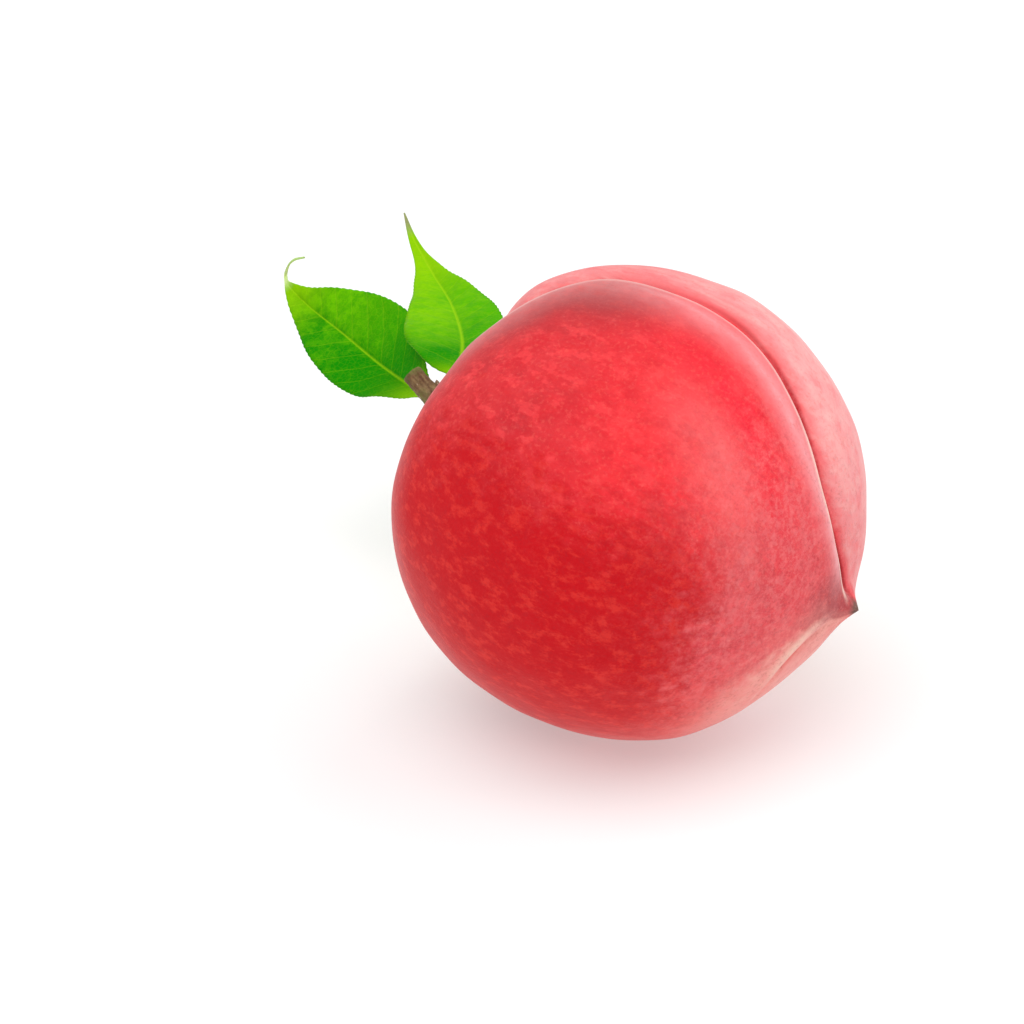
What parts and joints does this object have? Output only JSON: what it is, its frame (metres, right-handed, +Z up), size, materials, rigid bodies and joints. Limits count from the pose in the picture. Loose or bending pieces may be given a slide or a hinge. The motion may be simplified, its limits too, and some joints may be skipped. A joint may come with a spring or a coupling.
{
  "type": "peach",
  "caption": "Ripe whole peach with a seam, a pointed tip, a short cut twig and leaves, resting on a small flat spot.",
  "frame": {"origin": "on the flat spot that the fruit rests on, straight below the middle of the fruit", "axes": "+Z up out of the surface it rests on, +X towards the fruit's pointed tip, the seam on top in the XZ plane, the stem end and the leaves towards -X"},
  "size_m": [0.1348, 0.0984, 0.074],
  "materials": {
    "peach_skin": "velvety peach skin, red with darker blotches and a paler rose blush where it turns away, fine fuzz",
    "twig_bark": "young brown bark with small pale lenticels and a pale cut end",
    "leaf_green": "fresh bright green leaf, slightly glossy above, with a paler midrib and side veins"
  },
  "bodies": {
    "root": {"fruit": "peach_skin", "twig": "twig_bark", "leaf_left": "leaf_green", "leaf_right": "leaf_green"}
  },
  "joints": []
}
